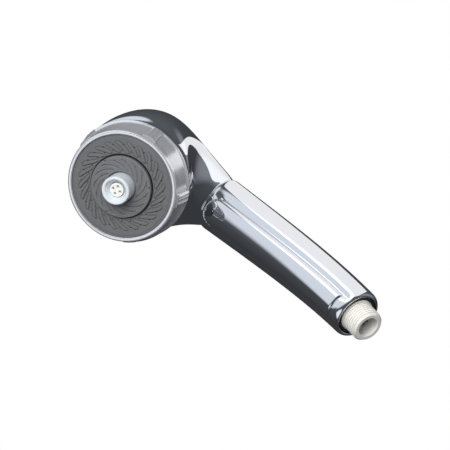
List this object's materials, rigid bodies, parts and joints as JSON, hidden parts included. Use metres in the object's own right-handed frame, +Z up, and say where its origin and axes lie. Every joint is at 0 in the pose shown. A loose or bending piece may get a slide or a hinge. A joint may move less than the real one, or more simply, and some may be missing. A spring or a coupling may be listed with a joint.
{
  "type": "handheld shower head",
  "caption": "Hook-shaped chrome hand shower with a round turning spray face, ribbed grip ring, raised centre cup, bowed handle and threaded hose inlet.",
  "frame": {"origin": "centre of the open end of the threaded inlet", "axes": "+Z up the inlet's axis into the handle; -Y to the front, where the spray face looks forward and down; +X across the handle"},
  "size_m": [0.089, 0.1471, 0.1931],
  "materials": {
    "chrome": "polished",
    "face_grey": "satin",
    "disc_grey": "satin",
    "boss_pale": "satin",
    "plug_white": "satin",
    "inlet_white": "satin",
    "acetal": "satin",
    "engine_black": "satin",
    "blue_plastic": "gloss",
    "rubber_black": "matte",
    "steel": "plain"
  },
  "bodies": {
    "handset": {"body_shell": "chrome", "front_grip_insert": "chrome", "valve_plate": "acetal", "port_seal": "rubber_black", "valve_housing": "engine_black", "spindle_sleeve": "steel", "centre_screw": "steel", "screw_washer": "steel", "plate_o_ring": "rubber_black", "plate_screw_1": "steel", "plate_screw_2": "steel", "plate_screw_3": "steel", "slip_ring": "acetal", "detent_spring": "steel", "tube_o_ring": "rubber_black", "waterway_tube": "acetal", "inner_tube_o_ring": "rubber_black", "inlet_nipple": "inlet_white", "inlet_gasket": "rubber_black", "nipple_o_ring": "rubber_black", "inlet_filter": "steel", "flow_restrictor": "blue_plastic", "restrictor_o_ring": "rubber_black"},
    "face": {"mode_ring": "chrome", "spray_face": "face_grey", "inner_spray_disc": "disc_grey", "centre_boss": "boss_pale", "jet_plug": "plug_white", "face_backplate": "acetal", "backplate_seal": "rubber_black", "face_clamp_nut": "acetal", "turbine_stem": "acetal"},
    "turbine": {"massage_turbine": "blue_plastic"},
    "plunger": {"detent_plunger": "acetal"}
  },
  "joints": [
    {"name": "face_turn", "type": "hinge", "parent": "handset", "child": "face", "pos_m": [0, -0.109, 0.1406], "axis": [0, -0.788, -0.6157], "range_deg": [-60, 60]},
    {"name": "turbine_spin", "type": "hinge", "parent": "face", "child": "turbine", "pos_m": [0, -0.109, 0.1406], "axis": [0, -0.788, -0.6157], "continuous": true},
    {"name": "plunger_slide", "type": "slide", "parent": "handset", "child": "plunger", "axis": [0, 0.788, 0.6157], "range_m": [0, 0.001], "stiffness_N_per_m": 800, "springref_m": -0.001, "deforming": ["detent_spring"]}
  ]
}
